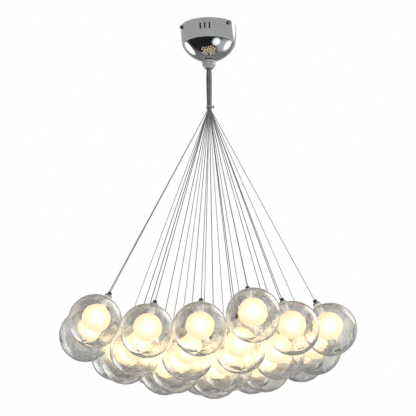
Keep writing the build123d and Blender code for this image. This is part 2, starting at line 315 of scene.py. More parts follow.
def clearBlownGlass(name, glow):
    size = blownGlass
    material, tree = newMaterial(name)
    where = addNode(tree, "TexCoord").outputs
    parts = addNode(tree, "SeparateXYZ", links={"Vector": where["UV"]})
    # painted glow standing in for the opals' light, rising from the foot
    rising = {**size["paintedGlowHeights"], "To Max": glow}
    paintedGlow = addNode(tree, "MapRange", rising, {"Value": parts.outputs["Y"]})
    waves = addNode(tree, "TexNoise", size["waves"], {"Vector": where["Object"]})
    slow = addNode(tree, "Bump", size["waveBump"], {"Height": waves})
    cords = addNode(tree, "TexNoise", size["cords"], {"Vector": where["Object"]})
    finer = addNode(tree, "Bump", size["cordBump"], {"Height": cords, "Normal": slow})
    glass = {"Roughness": 0.0, "IOR": 1.5, "Transmission Weight": 1.0}
    colours = {"Base Color": linear(size["colour"]), "Emission Color": linear(size["paintedGlow"])}
    links = {"Normal": finer, "Emission Strength": paintedGlow}
    return surfaced(material, addNode(tree, "BsdfPrincipled", {**glass, **colours}, links))


# thin flashed opal glass over a lit lamp: a painted white hot spot on the side that faces the eye,
# standing in for the lamp seen through it, pale yellow round it and peach at the top, painted as
# less of the lamp's light; the flashing stops below the neck, which is clear, with a faint painted
# glow
opalGlass = {
    # painted hot spot, from the middle, which faces the eye, to the outline; clouds shift it a little
    "paintedHotSpot": ((0.1, "#ffffff"), (0.27, "#fff1d0"), (0.6, "#ffe8c2"), (1.0, "#fad5ac")),
    "clouds": {"Scale": 1 / (14 * mm), "Detail": 2.0},
    "cloudShift": 0.12,
    "peach": "#ffdcb6",
    "peachHeights": {
        "interpolation_type": "SMOOTHSTEP", "From Min": 0.36, "From Max": 0.7, "To Max": 0.7,
    },
    "neckHeights": {"From Min": 0.67, "From Max": 0.72},
    # the flashed part, then the neck
    "skin": ("#b8a98c", "#f2f0ea"),
    "glow": {"To Min": 0.96, "To Max": 0.2},
    "seeThrough": {"To Min": 0.15, "To Max": 0.5},
    # faint painted glow of the clear neck, standing in for lamp light leaking out
    "neckGlow": "#ece8e6",
    # the lit opal outshines white, so it stays pale behind each more globe, which is four more
    # surfaces of glass
    "behindGlass": {"From Min": 2.0, "From Max": 10.0, "To Min": 1.0, "To Max": 1.7},
}


def flashedOpalGlass():
    size = opalGlass
    material, tree = newMaterial("flashedOpalGlass")
    where = addNode(tree, "TexCoord").outputs
    parts = addNode(tree, "SeparateXYZ", links={"Vector": where["UV"]})
    height = {"Value": parts.outputs["Y"]}
    # the painted hot spot follows how squarely the surface faces the eye
    facing = addNode(tree, "LayerWeight", {"Blend": 0.5})
    cloud = addNode(tree, "TexNoise", size["clouds"], {"Vector": where["Object"]})
    depth = addNode(
        tree, "Math",
        {"operation": "MULTIPLY_ADD", 1: size["cloudShift"]},
        {0: cloud, 2: facing.outputs["Facing"]},
    )
    paintedHotSpot = addNode(tree, "ValToRGB", links={"Fac": depth})
    paintedHotSpot.color_ramp.interpolation = "EASE"
    fillRamp(paintedHotSpot.color_ramp, size["paintedHotSpot"])
    # peach towards the top: painted as less of the lamp's light reaching it
    peach = addNode(tree, "MapRange", size["peachHeights"], height)
    warm = addNode(
        tree, "Mix", {"data_type": "RGBA", 7: linear(size["peach"])}, {0: peach, 6: paintedHotSpot}
    )
    neck = addNode(tree, "MapRange", size["neckHeights"], height)
    atNeck = {"Value": neck}
    glowing = addNode(
        tree, "Mix",
        {"data_type": "RGBA", 7: linear(size["neckGlow"])},
        {0: neck, 6: warm.outputs[2]},
    )
    flashing = addNode(tree, "MapRange", size["glow"], atNeck)
    path = addNode(tree, "LightPath")
    beyond = addNode(
        tree, "MapRange", size["behindGlass"], {"Value": path.outputs["Transmission Depth"]}
    )
    strength = addNode(tree, "Math", {"operation": "MULTIPLY"}, {0: flashing, 1: beyond})
    flashed, clear = size["skin"]
    skin = addNode(
        tree, "Mix", {"data_type": "RGBA", 6: linear(flashed), 7: linear(clear)}, {0: neck}
    )
    through = addNode(tree, "MapRange", size["seeThrough"], atNeck)
    shader = addNode(
        tree, "BsdfPrincipled",
        {"Roughness": 0.3, "IOR": 1.3},
        {
            "Base Color": skin.outputs[2],
            "Emission Color": glowing.outputs[2],
            "Emission Strength": strength,
            "Transmission Weight": through,
        },
    )
    return surfaced(material, shader)


# frosted capsule lamp, lit: its own light hides its surface, but for the dimmer foot at the pins
litLamp = {
    "colour": "#fff8ea",
    "light": "#fff3da",
    "power": {"From Min": 0.55, "From Max": 0.75, "To Min": 8.0, "To Max": 0.5},
}


def frostedLamp():
    size = litLamp
    material, tree = newMaterial("frostedLampCapsule")
    where = addNode(tree, "TexCoord").outputs
    parts = addNode(tree, "SeparateXYZ", links={"Vector": where["UV"]})
    power = addNode(tree, "MapRange", size["power"], {"Value": parts.outputs["Y"]})
    colours = {"Base Color": linear(size["colour"]), "Emission Color": linear(size["light"])}
    shader = addNode(
        tree, "BsdfPrincipled", {**colours, "Roughness": 0.5}, {"Emission Strength": power}
    )
    return surfaced(material, shader)


# moulded piece: the fine spark-eroded grain of its mould softens the gloss
def moulded(name, colour, roughness, grainSize, coat=0.0, see=0.0):
    material, tree = newMaterial(name)
    where = addNode(tree, "TexCoord").outputs
    grain = addNode(
        tree, "TexNoise", {"Scale": 1 / grainSize, "Detail": 3.0}, {"Vector": where["Object"]}
    )
    bump = addNode(tree, "Bump", {"Strength": 0.4, "Distance": 0.03 * mm}, {"Height": grain})
    rough = addNode(
        tree, "MapRange", {"To Min": roughness * 0.8, "To Max": roughness * 1.2}, {"Value": grain}
    )
    plain = {"IOR": 1.5, "Coat Weight": coat, "Transmission Weight": see}
    shader = addNode(
        tree, "BsdfPrincipled",
        {"Base Color": linear(colour), **plain},
        {"Normal": bump, "Roughness": rough},
    )
    return surfaced(material, shader)


# clear vinyl jacket over twisted tinned copper: silver-grey, with the twist's bands darker where the
# strands turn under, partly the strands' pattern and partly painted shade
jacket = {
    # the real lay is 6 mm; it is drawn coarser, since a cord is hardly a pixel wide
    "lay": 27.6 * mm,
    # how much the lay shades a cord; the rest of its shade is its own
    "layShade": 0.12,
    "tin": ((0.0, "#585957"), (0.55, "#8d8e8c"), (1.0, "#c2c3c0")),
}


def clearJacketedCord():
    material, tree = newMaterial("clearJacketedCord")
    where = addNode(tree, "TexCoord").outputs
    twist = {"Scale": waveUnit / jacket["lay"], "Distortion": 0.8, "Detail": 1.0}
    # twist bands: the strands' pattern, their darker parts partly painted shade where strands turn
    # under
    lay = addNode(tree, "TexWave", {"bands_direction": "Z", **twist}, {"Vector": where["Object"]})
    cordByCord = addNode(tree, "ObjectInfo")
    shade = addNode(
        tree, "Math",
        {"operation": "MULTIPLY_ADD", 1: jacket["layShade"]},
        {0: lay.outputs["Fac"], 2: cordByCord.outputs["Random"]},
    )
    tin = addNode(tree, "ValToRGB", links={"Fac": shade})
    fillRamp(tin.color_ramp, jacket["tin"])
    shader = addNode(
        tree, "BsdfPrincipled",
        {"Roughness": 0.4, "Metallic": 0.3, "Coat Weight": 0.7, "Coat Roughness": 0.1},
        {"Base Color": tin},
    )
    return surfaced(material, shader)


# metal: its colour and roughness vary between two values, in patches of one size
def plated(name, colours, roughLow, roughHigh, patch, ringPitch=None):
    material, tree = newMaterial(name)
    where = addNode(tree, "TexCoord").outputs
    patches = addNode(
        tree, "TexNoise", {"Scale": 1 / patch, "Detail": 4.0}, {"Vector": where["Object"]}
    )
    rough = addNode(tree, "MapRange", {"To Min": roughLow, "To Max": roughHigh}, {"Value": patches})
    tint = addNode(tree, "ValToRGB", links={"Fac": patches})
    fillRamp(tint.color_ramp, ((0.35, colours[0]), (0.65, colours[1])))
    links = {"Base Color": tint, "Roughness": rough}
    if ringPitch:
        # the rings that a spinning tool leaves
        spun = {"Scale": waveUnit / ringPitch, "Distortion": 1.2, "Detail": 2.0}
        rings = addNode(
            tree, "TexWave", {"bands_direction": "Z", **spun}, {"Vector": where["Object"]}
        )
        bump = addNode(
            tree, "Bump",
            {"Strength": 0.05, "Distance": 0.02 * mm}, {"Height": rings.outputs["Fac"]},
        )
        links["Normal"] = bump
    shader = addNode(tree, "BsdfPrincipled", {"Metallic": 1.0}, links)
    return surfaced(material, shader)


# the grain of moulded pieces is drawn a few times coarser than the real one, to show close by
finishes = {
    "clearGlass": clearBlownGlass("clearBlownGlass", blownGlass["glowFree"]),
    "hemmedGlass": clearBlownGlass("hemmedClearGlass", blownGlass["glowHemmed"]),
    "opalGlass": flashedOpalGlass(),
    "lamp": frostedLamp(),
    "cord": clearJacketedCord(),
    # ABS collar: even mid grey with a soft sheen
    "ferrule": moulded("greyMouldedCollar", "#9b9d9e", 0.35, 0.8 * mm),
    # nylon grip: near black, with a thin highlight
    "grip": moulded("blackNylonGrip", "#404042", 0.35, 0.6 * mm, coat=0.2),
    # pressed steatite under a glaze: warm white and wet-looking
    "holder": moulded("glazedSteatiteHolder", "#ecebe6", 0.3, 1.2 * mm, coat=0.5),
    # nylon without pigment: greyish, faintly see-through, cloudy in large patches
    "nylon": moulded("naturalPolyamide", "#b3b4b0", 0.3, 4 * mm, coat=0.6, see=0.1),
    # the thin strap of a nylon tie: paler, lets more light through
    "tie": moulded("clearNylonTie", "#cbcac4", 0.3, 0.5 * mm, see=0.35),
    # nitrile rubber: black and dull
    "rubber": moulded("blackNitrileRubber", "#232323", 0.7, 0.4 * mm),
    # polycarbonate case, nylon block and vinyl cap behind the cup: plain and satin
    "driver": moulded("whitePolycarbonateCase", "#e8e8e5", 0.4, 0.7 * mm),
    "terminal": moulded("ivoryNylonBlock", "#ddd8ca", 0.45, 0.6 * mm),
    "splice": moulded("greyVinylCap", "#77797b", 0.5, 0.6 * mm),
    # chrome over spun steel: a clean mirror; real rings are finer and drawn coarser to show
    "chrome": plated(
        "polishedChromePlate", ("#d4d6d7", "#dbdddd"), 0.015, 0.05, 24 * mm, 3.16 * mm
    ),
    # steel left unplated inside the cup, darkened to near black as painted shade, so the vents read
    # black
    "paintedShadeInside": plated("unplatedSteelPaintedShade", ("#242322", "#2e2d2c"), 0.45, 0.6, 9 * mm),
    # bright zinc over pressed steel: pale grey, cloudy
    "zinc": plated("zincPlatedSteel", ("#a9adb0", "#c3c5c4"), 0.28, 0.45, 7 * mm),
    # nickel over turned steel screws: warm grey, fairly sharp highlights
    "nickel": plated("nickelPlatedSteel", ("#8f8d88", "#a3a19c"), 0.15, 0.28, 2 * mm),
}
print("materials made:", len(finishes))


# Pendants, each made upright about its clear globe's centre, with +Z up its cord

clearGlobe = {
    "radius": 50 * mm,
    "wall": 2.2 * mm,
    "lipZ": 55 * mm,
    "lipR": 7.5 * mm,
    "beadR": 0.75 * mm,
    "boreR": 6 * mm,
    "boreH": 3 * mm,
    # degrees up the ball at which the neck begins, outside and inside
    "neckFrom": (68, 74),
    # the neck narrows to its waist, this far under the lip
    "waistR": 8.1 * mm,
    "waistDrop": 3.5 * mm,
    # what the neck's bend is drawn towards: share of its foot's radius, rise; and inside, rise
    "neckDraw": (0.74, 1.8 * mm),
    "throatDraw": 1 * mm,
    # the blown wall inside: waves round it, their phases and their twist by height, how uneven
    # they leave it, and how much thicker it is at its foot
    "waves": 4,
    "lobes": (2, 3, 4, 5),
    "phases": (0, 6.3),
    "twists": (50, 110),
    "unevenness": 0.12 * mm,
    "footWall": 0.8 * mm,
    "variants": 3,
}


def clearGlobeMesh(seed):
    size = clearGlobe
    lipR, lipZ, beadR = size["lipR"], size["lipZ"], size["beadR"]
    neckOutside, neckInside = size["neckFrom"]
    outer = arcPoints(0, 0, size["radius"], -90, neckOutside, 40)
    drawnR, drawnZ = outer[-1][0] * size["neckDraw"][0], outer[-1][1] + size["neckDraw"][1]
    waist = (size["waistR"], lipZ - size["waistDrop"])
    neck = bendPoints(outer[-1], (drawnR, drawnZ), waist, 8)
    bead = arcPoints(lipR - beadR, lipZ - beadR, beadR, 0, 180, 6)
    innerR = size["radius"] - size["wall"]
    inner = arcPoints(0, 0, innerR, neckInside, -90, 40)
    throatTop = (size["boreR"], lipZ - size["boreH"])
    throatBend = (size["boreR"], inner[0][1] + size["throatDraw"])
    throat = bendPoints(throatTop, throatBend, inner[0], 6)

    chance = random.Random(seed)
    waves = []
    for _ in range(size["waves"]):
        lobes = chance.choice(size["lobes"])
        waves.append((lobes, chance.uniform(*size["phases"]), chance.uniform(*size["twists"])))
    # the outside and the neck stay even
    withinR = innerR + size["wall"] / 3
    underNeck = innerR * 0.9

    def blown(radius, height, turn):
        reach = math.hypot(radius, height)
        if reach > withinR or height > underNeck:
            return radius, height
        push = size["unevenness"] * sum(
            math.sin(lobes * turn + phase + height * twist) for lobes, phase, twist in waves
        )
        push -= max(0, -height / innerR) ** 2 * size["footWall"]
        return radius * (1 + push / reach), height * (1 + push / reach)

    profile = outer + neck[1:] + bead + throat + inner[1:]
    return turned(f"clearGlobe{seed}", profile, 80, shape=blown, sharpAngle=80)


opalGlobe = {
    "radius": 26.5 * mm,
    "wall": 1.6 * mm,
    # how far its centre is above the clear globe's
    "lift": 7 * mm,
    "neckR": 5.6 * mm,
    "neckH": 7 * mm,
    "neckFrom": (68, 74),
    # what the neck's bend is drawn towards: radius, rise
    "neckDraw": (6.16 * mm, 1.2 * mm),
    "boreR": 4.5 * mm,
    "boreFoot": 3 * mm,
}


def opalGlobeMesh():
    size = opalGlobe
    lift, neckR, boreR = size["lift"], size["neckR"], size["boreR"]
    neckOutside, neckInside = size["neckFrom"]
    outer = arcPoints(0, lift, size["radius"], -90, neckOutside, 30)
    footZ = outer[-1][1]
    drawn = (size["neckDraw"][0], footZ + size["neckDraw"][1])
    neck = bendPoints(outer[-1], drawn, (neckR, footZ + size["neckH"]), 8)
    inner = arcPoints(0, lift, size["radius"] - size["wall"], neckInside, -90, 26)
    top = clearGlobe["lipZ"]
    bore = [(neckR, top), (boreR, top), (boreR, inner[0][1] + size["boreFoot"])]
    return turned("opalGlobe", outer + neck[1:] + bore + inner, 48, sharpAngle=60)


# a piece's profile is in shares of its radius and of its height
def scaledProfile(size, foot):
    return [(size["radius"] * r, foot + size["height"] * z) for r, z in size["profile"]]


# collar with a knurled rim, seated on the lip of the glass
ferrule = {
    "radius": 7.5 * mm,
    "height": 3.6 * mm,
    "profile": ((0, 0), (0.94, 0), (1, 0.18), (1, 0.72), (0.86, 0.92), (0.7, 1), (0, 1)),
    "knurls": 24,
    "knurlDepth": 0.16 * mm,
}


def ferruleMesh():
    size = ferrule
    rimFrom = size["radius"] * 0.97

    def knurled(radius, height, turn):
        if radius > rimFrom:
            radius -= size["knurlDepth"] / 2 * (1 + math.cos(size["knurls"] * turn))
        return radius, height

    profile = scaledProfile(size, clearGlobe["lipZ"])
    return turned("ferrule", profile, 96, shape=knurled, sharpAngle=60)


# strain relief: a waisted bush drawn in round the cord
cordGrip = {
    "radius": 4.2 * mm,
    "height": 7.6 * mm,
    "profile": (
        (0, 0), (1, 0), (1, 0.42), (0.9, 0.47), (0.9, 0.54),
        (1, 0.6), (1, 0.78), (0.8, 0.93), (0.3, 1), (0, 1),
    ),
}


def gripMesh():
    profile = scaledProfile(cordGrip, clearGlobe["lipZ"] + ferrule["height"])
    return turned("grip", profile, 32, sharpAngle=50)


lampHolder = {
    "radius": 4.1 * mm,
    "height": 19 * mm,
    "profile": (
        (0, 0), (0.72, 0), (0.72, 0.04), (0.92, 0.04),
        (1, 0.07), (1, 0.97), (0.94, 1), (0, 1),
    ),
}


def holderMesh():
    profile = scaledProfile(lampHolder, clearGlobe["lipZ"] - lampHolder["height"])
    return turned("holder", profile, 32, sharpAngle=50)


# capsule with a round foot; between two depths under its top it narrows to its pinched end
lampCapsule = {
    "radius": 3.8 * mm,
    "height": 36 * mm,
    "pinchR": 3.268 * mm,
    "pinchFrom": 12 * mm,
    "pinchTo": 10.5 * mm,
}


def lampMesh():
    size = lampCapsule
    radius, pinchR = size["radius"], size["pinchR"]
    top = clearGlobe["lipZ"] - lampHolder["height"]
    dome = arcPoints(0, top - size["height"] + radius, radius, -90, 0, 8)
    pinch = [(radius, top - size["pinchFrom"]), (pinchR, top - size["pinchTo"]), (pinchR, top)]
    return turned("lamp", dome + pinch + [(0, top)], 24, sharpAngle=60)


globeVariants = [clearGlobeMesh(seed) for seed in range(clearGlobe["variants"])]
# piece, mesh, finish, slot, kind of node
pendantKinds = (
    ("opalGlobe", opalGlobeMesh(), "opalGlass", "opal_glass", "opal_globe"),
    ("ferrule", ferruleMesh(), "ferrule", "ferrule_plastic", "ferrule"),
    ("grip", gripMesh(), "grip", "grip_plastic", "grip"),
    ("holder", holderMesh(), "holder", "holder_ceramic", "holder"),
    ("lamp", lampMesh(), "lamp", "lamp_capsule", "lamp"),
)


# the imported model's node for a kind of piece: the hemmed pendants share one for each kind, and a
# free pendant's small pieces and cord are one fitting
def nodeOf(spot, kind):
    if spot in hemmedSpots:
        return f"inner_{kind}s"
    return f"{kind}_{labels[spot]}" if kind.endswith("globe") else "fitting_" + labels[spot]


def slotOf(node, slotName):
    return "fitting_mixed" if node.startswith("fitting") else slotName


def addPendant(spot):
    hemmed = spot in hemmedSpots
    body = "nest" if hemmed else "pendant_" + labels[spot]
    ray = rayOf(spot)
    centre = tiePoint + ray * nest["hang"]
    laid = laidAlong(-ray) @ Matrix.Rotation(random.uniform(0, 2 * math.pi), 4, "Z")
    clearFinish = "hemmedGlass" if hemmed else "clearGlass"
    glass = ("clearGlobe", random.choice(globeVariants), clearFinish, "clear_glass", "clear_globe")
    for name, mesh, finish, slotName, kind in (glass,) + pendantKinds:
        node = nodeOf(spot, kind)
        slotName = slotOf(node, slotName)
        copy = mesh.copy()
        copy.transform(laid)
        name = f"{name}_{labels[spot]}"
        piece = addPiece(name, copy, body, finish, node, centre)
        # clear glass casts next to no shadow
        piece.visible_shadow = kind != "clear_globe"
    addFanCord(spot, body, ray)


# the taut cord from its bend under the tie down to the grip
def addFanCord(spot, body, ray):
    gripTop = clearGlobe["lipZ"] + ferrule["height"] + cordGrip["height"]
    length = nest["hang"] - fanRadius - gripTop
    start = tiePoint + ray * fanRadius
    route = [start + ray * length * share for share in (0, 0.5, 1)]
    piece = cordPiece("cord_" + labels[spot], route)
    node = nodeOf(spot, "cord")
    finishPiece(piece, body, node)


for spot in spots:
    addPendant(spot)
print("pendants made:", len(spots))


# Canopy: straight rim band, wall that leans in, domed bottom with an edge, flat seat for the
# gland; angles in degrees

canopy = {
    "radius": 55 * mm,
    "wall": 1 * mm,
    "rimRounding": 0.25 * mm,
    "band": 9.5 * mm,
    "wallArc": 172 * mm,
    "wallAngle": 10,
    "domeDepth": 31.3 * mm,
    "seatR": 13.5 * mm,
    "edgeRounding": 0.8 * mm,
    "boreR": 8.1 * mm,
    "sharpAngle": 30,
    # vents, counted from the middle one; drops are from the rim, azimuths from the viewer's side
    "vents": (-1, 0, 1),
    "ventW": 3.2 * mm,
    "ventH": 13 * mm,
    "ventPitch": 9.2 * mm,
    "ventDrop": 10 * mm,
    "ventAzimuth": -8,
    "screwAzimuths": (-75, 45, 165),
    "screwDrop": 6 * mm,
    "notchR": 2.3 * mm,
}


# the cup's profile from the rim to the seat, set in by the inset
def cupSkin(inset):
    size = canopy
    radius, band, wallArc = size["radius"], size["band"], size["wallArc"]
    lean = math.radians(size["wallAngle"])
    edgeR = radius - wallArc * (1 - math.cos(lean))
    edgeZ = -band - wallArc * math.sin(lean)
    rise = (edgeR ** 2 - size["seatR"] ** 2 - size["domeDepth"] ** 2) / (2 * size["domeDepth"])
    domeR = math.hypot(edgeR, rise)
    edgeTurn = math.degrees(math.atan2(rise, edgeR))
    seatTurn = math.degrees(math.acos(size["seatR"] / domeR))
    domeRound = math.degrees(size["edgeRounding"] / domeR)
    wallRound = math.degrees(size["edgeRounding"] / wallArc)
    wallEnd = wallRound - size["wallAngle"]
    wall = arcPoints(radius - wallArc, -band, wallArc - inset, 0, wallEnd, 14)
    dome = arcPoints(0, edgeZ + rise, domeR - inset, -edgeTurn - domeRound, -seatTurn, 26)
    edge = bendPoints(wall[-1], (edgeR - inset, edgeZ), dome[0], 5)
    top = [(radius - inset, 0), (radius - inset, -band / 2)]
    seat = (size["seatR"], edgeZ - size["domeDepth"] + inset)
    return top + wall + edge[1:-1] + dome[:-1] + [seat]


# a frame on the cup's wall: +Z out of the cup, +X up
def onWall(azimuth, drop):
    turn = math.radians(azimuth)
    out = Vector((math.sin(turn), -math.cos(turn), 0))
    up = Vector((0, 0, 1))
    axes = Matrix((up, out.cross(up), out)).transposed().to_4x4()
    return Matrix.Translation(out * canopy["radius"] - up * drop) @ axes


# a slot with round ends along X, or one that runs on past the rim
def slotCutter(length, width, depth, place, openEnd=False):
    radius = width / 2
    reach = length / 2 - radius
    outline = arcPoints(-reach, 0, radius, 90, 270, 12)
    if openEnd:
        outline += [(length, -radius), (length, radius)]
    else:
        outline += arcPoints(reach, 0, radius, -90, 90, 12)
    bm = bmesh.new()
    low, high = ([bm.verts.new((x, y, side * depth)) for x, y in outline] for side in (-1, 1))
    bm.faces.new(low)
    bm.faces.new(high)
    for step in range(len(outline)):
        after = (step + 1) % len(outline)
        bm.faces.new((low[step], low[after], high[after], high[step]))
    cutter = newObject("cutter", meshFrom(bm, "cutter"))
    cutter.matrix_world = place
    return cutter


def cutOut(piece, cutters, sharpAngle):
    for cutter in cutters:
        cut = piece.modifiers.new("cut", "BOOLEAN")
        cut.object = cutter
        cut.solver = "EXACT"
    graph = bpy.context.evaluated_depsgraph_get()
    mesh = bpy.data.meshes.new_from_object(piece.evaluated_get(graph))
    smoothen(mesh, sharpAngle)
    piece.modifiers.clear()
    piece.data = mesh
    for cutter in cutters:
        bpy.data.objects.remove(cutter)


def addCanopy():
    size = canopy
    outer, inner = cupSkin(0), cupSkin(size["wall"])
    outer[0] = (size["radius"] - size["rimRounding"], 0)
    outer.insert(1, (size["radius"], -size["rimRounding"]))
    outer.append((size["boreR"], outer[-1][1]))
    inner.append((size["boreR"], inner[-1][1]))
    profile = outer + inner[::-1]
    mesh = turned("canopyCup", profile, 240, closed=True, sharpAngle=size["sharpAngle"])
    mesh.materials.append(finishes["chrome"])
    mesh.materials.append(finishes["paintedShadeInside"])
    # faces that look into the cup take the dark painted shade
    within = Vector((0, 0, -size["band"]))
    for polygon in mesh.polygons:
        polygon.material_index = int(polygon.normal.dot(within - polygon.center) > 0)
    cup = newObject("canopyCup", mesh)

    through = 4 * size["wall"]
    cutters = []
    for step in size["vents"]:
        azimuth = size["ventAzimuth"] + math.degrees(step * size["ventPitch"] / size["radius"])
        place = onWall(azimuth, size["ventDrop"] + size["ventH"] / 2)
        cutters.append(slotCutter(size["ventH"], size["ventW"], through, place))
    notch = 2 * size["notchR"]
    for azimuth in size["screwAzimuths"]:
        place = onWall(azimuth, size["screwDrop"])
        cutters.append(slotCutter(notch, notch, through, place, openEnd=True))
    cutOut(cup, cutters, size["sharpAngle"])
    finishPiece(cup, "canopy", "canopy_cup")


addCanopy()

# Side screws: cheese heads with a slot

sideScrew = {
    "headR": 3.8 * mm,
    "headH": 3.2 * mm,
    "headRounding": 0.5 * mm,
    # how far in and up the edge under the head is broken
    "headEdge": (0.152 * mm, 0.2 * mm),
    "threadR": 2 * mm,
    "pitch": 0.7 * mm,
    "length": 9 * mm,
    # between the cup and the head
    "gap": 0.3 * mm,
    "slotW": 0.9 * mm,
    "slotDepth": 1.2 * mm,
    "sharpAngle": 50,
}


def sideScrewMesh(place, slotTurn):
    size = sideScrew
    foot, headR, rounding = size["gap"], size["headR"], size["headRounding"]
    top, tip = foot + size["headH"], foot - size["length"]
    inwards, upwards = size["headEdge"]
    profile = [(0, tip)] + threadPoints(size["threadR"], tip, foot, size["pitch"])
    profile += [(headR - inwards, foot), (headR, foot + upwards)]
    profile += arcPoints(headR - rounding, top - rounding, rounding, 0, 90, 4) + [(0, top)]
    mesh = turned("sideScrew", profile, 40, sharpAngle=size["sharpAngle"])
    screw = newObject("screwBlank", mesh)
    slotPlace = Matrix.Translation((0, 0, top)) @ Matrix.Rotation(slotTurn, 4, "Z")
    slot = slotCutter(3 * headR, size["slotW"], size["slotDepth"], slotPlace)
    cutOut(screw, [slot], size["sharpAngle"])
    mesh = screw.data
    bpy.data.objects.remove(screw)
    mesh.transform(place)
    return mesh


for number, azimuth in enumerate(canopy["screwAzimuths"], 1):
    mesh = sideScrewMesh(onWall(azimuth, canopy["screwDrop"]), random.uniform(0, math.pi))
    name = f"sideScrew_{number}"
    addPiece(name, mesh, "ceiling_plate", "nickel", "side_screws")
print("canopy made")


# Cable gland in the cup's seat, from its mouth up to the locknut inside the cup

gland = {
    "seatZ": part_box("canopy_cup")[0].z,
    "mouthZ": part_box("gland_cap")[0].z,
    "sealZ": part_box("gland_seals")[0].z,
    "bodyFoot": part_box("gland_body")[0].z,
    "bodyTop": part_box("gland_body")[1].z,
    "threadR": 8 * mm,
    "pitch": 1.5 * mm,
    # room round the thread, and how far the hexagons' corners stand out beyond their flats
    "play": 0.1 * mm,
    "corner": 1.12,
    "chamfer": 0.6 * mm,
}
washer = {"radius": 12 * mm, "thick": 1.5 * mm, "edge": (0.3 * mm, 0.4 * mm)}
cordSeal = {"radius": 7.7 * mm, "boreR": 5.3 * mm, "height": 3.5 * mm}
# faceShare: the flat face's radius as a share of the corners'
glandBody = {
    "hexR": 12 * mm,
    "flangeH": 4.5 * mm,
    "faceShare": 0.93,
    "boreR": 6.2 * mm,
    "noseThreadR": 9.4 * mm,
}
flangeTop = gland["seatZ"] - washer["thick"]
flangeFoot = flangeTop - glandBody["flangeH"]


# keeps a turned shape inside a hexagon whose flats are hexR from the axis, with a corner on +X
def hexed(hexR):
    def shape(radius, height, turn):
        flat = hexR / math.cos(turn % (math.pi / 3) - math.pi / 6)
        return min(radius, flat), height
    return shape


def addSealing(name, profile, segments):
    mesh = turned(name, profile, segments, closed=True)
    addPiece(name, mesh, "canopy", "rubber", "gland_seals")


def addNylonPiece(name, profile, segments, shape, sharpAngle, node):
    mesh = turned(name, profile, segments, closed=True, shape=shape, sharpAngle=sharpAngle)
    addPiece(name, mesh, "canopy", "nylon", node)


def addWasherAndSeal():
    boreR = gland["threadR"] + gland["play"]
    ring = ringPoints(boreR, washer["radius"], flangeTop, gland["seatZ"], washer["edge"])
    addSealing("glandWasher", ring, 64)
    foot, top = gland["sealZ"], gland["sealZ"] + cordSeal["height"]
    inside, outside = cordSeal["boreR"], cordSeal["radius"]
    addSealing("cordSeal", [(inside, foot), (outside, foot), (outside, top), (inside, top)], 48)


def addGlandBody():
    size = glandBody
    foot, top, chamfer = gland["bodyFoot"], gland["bodyTop"], gland["chamfer"]
    cornerR = size["hexR"] * gland["corner"]
    faceR = cornerR * size["faceShare"]
    profile = [(size["boreR"], foot)]
    profile += threadPoints(size["noseThreadR"], foot, flangeFoot, gland["pitch"])
    profile += [(faceR, flangeFoot), (cornerR, flangeFoot + chamfer)]
    profile += [(cornerR, flangeTop - chamfer), (faceR, flangeTop)]
    profile += threadPoints(gland["threadR"], flangeTop, top, gland["pitch"])
    profile += [(size["boreR"], top)]
    addNylonPiece("glandBody", profile, 96, hexed(size["hexR"]), 25, "gland_body")


locknut = {"hexR": 11 * mm, "height": 5 * mm, "faceShare": 0.94}


def addLocknut():
    size = locknut
    foot = gland["seatZ"] + canopy["wall"]
    boreR = gland["threadR"] + gland["play"]
    cornerR = size["hexR"] * gland["corner"]
    edge = (cornerR * (1 - size["faceShare"]), gland["chamfer"])
    profile = ringPoints(boreR, cornerR, foot, foot + size["height"], edge)
    addNylonPiece("glandLocknut", profile, 96, hexed(size["hexR"]), 25, "gland_locknut")


capNut = {
    # under the body's flange
    "gap": 0.5 * mm,
    "mouthR": 6.4 * mm,
    "throatH": 2 * mm,
    "noseR": 8 * mm,
    "noseH": 6.5 * mm,
    "noseEdge": 0.5 * mm,
    # what the nose's round is drawn towards: out and up from the mouth's edge
    "noseDraw": (3.2 * mm, 2.2 * mm),
    "noseTopShare": 0.995,
    "step": 0.2 * mm,
    "lowFaceShare": 0.95,
    "topFaceShare": 0.93,
    "threadR": 9.6 * mm,
    "sealSeatR": 7.4 * mm,
    # shallow ribs run down the nose
    "ribs": 18,
    "ribDepth": 0.25 * mm,
}


def addCapNut():
    size = capNut
    mouthZ, mouthR, noseR, threadR = gland["mouthZ"], size["mouthR"], size["noseR"], size["threadR"]
    hexR, cornerR = glandBody["hexR"], glandBody["hexR"] * gland["corner"]
    bodyFoot, chamfer, step = gland["bodyFoot"], gland["chamfer"], size["step"]
    top = flangeFoot - size["gap"]
    noseFoot, noseTop = mouthZ + size["noseEdge"], mouthZ + size["noseH"]
    drawn = (noseR + size["noseDraw"][0], mouthZ + size["noseDraw"][1])
    profile = [(mouthR, mouthZ), (noseR - size["noseEdge"], mouthZ)]
    profile += bendPoints((noseR, noseFoot), drawn, (hexR * size["noseTopShare"], noseTop), 12)
    profile += [(cornerR * size["lowFaceShare"], noseTop + step)]
    profile += [(cornerR, noseTop + chamfer + step), (cornerR, top - chamfer)]
    profile += [(cornerR * size["topFaceShare"], top), (threadR, top), (threadR, bodyFoot)]
    profile += [(size["sealSeatR"], bodyFoot - step), (mouthR, mouthZ + size["throatH"])]
    hexagon = hexed(hexR)

    def ribbed(radius, height, turn):
        radius, height = hexagon(radius, height, turn)
        if noseFoot < height < noseTop - size["noseEdge"] and radius > noseR:
            radius -= size["ribDepth"] * max(0, math.cos(size["ribs"] * turn))
        return radius, height

    addNylonPiece("glandCap", profile, 144, ribbed, 30, "gland_cap")


addWasherAndSeal()
addGlandBody()
addLocknut()
addCapNut()


# Cords from the gland's mouth to the tie, and the tie

bundle = {
    "length": 79 * mm,
    # they start on a sphere about the gland's mouth and end just inside the fan's
    "swingRadius": 7.5 * mm,
    "splitGap": 0.5 * mm,
    # where they bulge, as a share of the way down, and how much wider
    "bulgeShare": 0.3,
    "bulgePitchShare": 1.26,
    "aboveTie": 2.6 * mm,
    # how strongly each point of the route draws the cord
    "pull": (1, 6, 1, 1),
}


